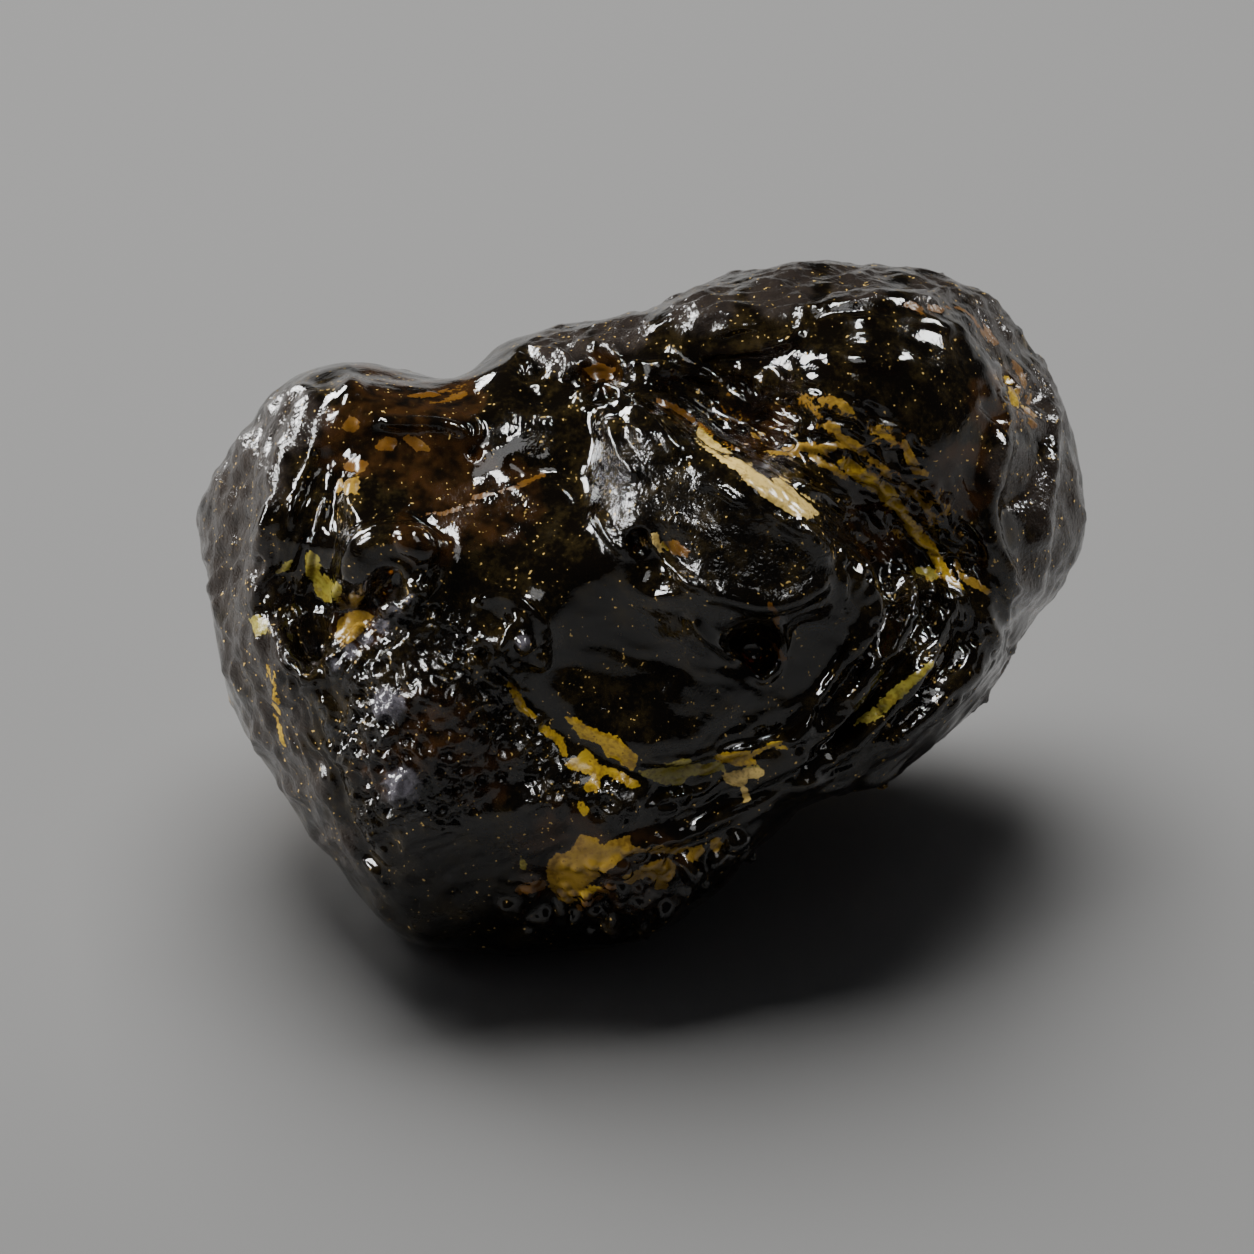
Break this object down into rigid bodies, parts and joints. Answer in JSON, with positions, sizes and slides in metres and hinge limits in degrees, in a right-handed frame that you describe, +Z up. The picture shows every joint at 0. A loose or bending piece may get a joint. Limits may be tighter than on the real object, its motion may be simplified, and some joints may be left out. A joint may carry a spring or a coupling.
{
  "type": "rough blue amber",
  "caption": "Irregular rough nugget of dark, glossy fossil amber with broken faces, flow folds, pits and ochre crust, resting on a worn flat.",
  "frame": {"origin": "on the flat the nugget rests on, under the middle of its bounding box", "axes": "+Z up from the resting flat, +X along the nugget's length towards its domed lobe, -Y towards its broken front"},
  "size_m": [0.0578, 0.0368, 0.0418],
  "materials": {
    "amber": "wet-gloss dark brown resin, see-through brown where thin, with ochre crust and a dull weathered rind"
  },
  "bodies": {
    "root": {"amber_nugget": "amber"}
  },
  "joints": []
}
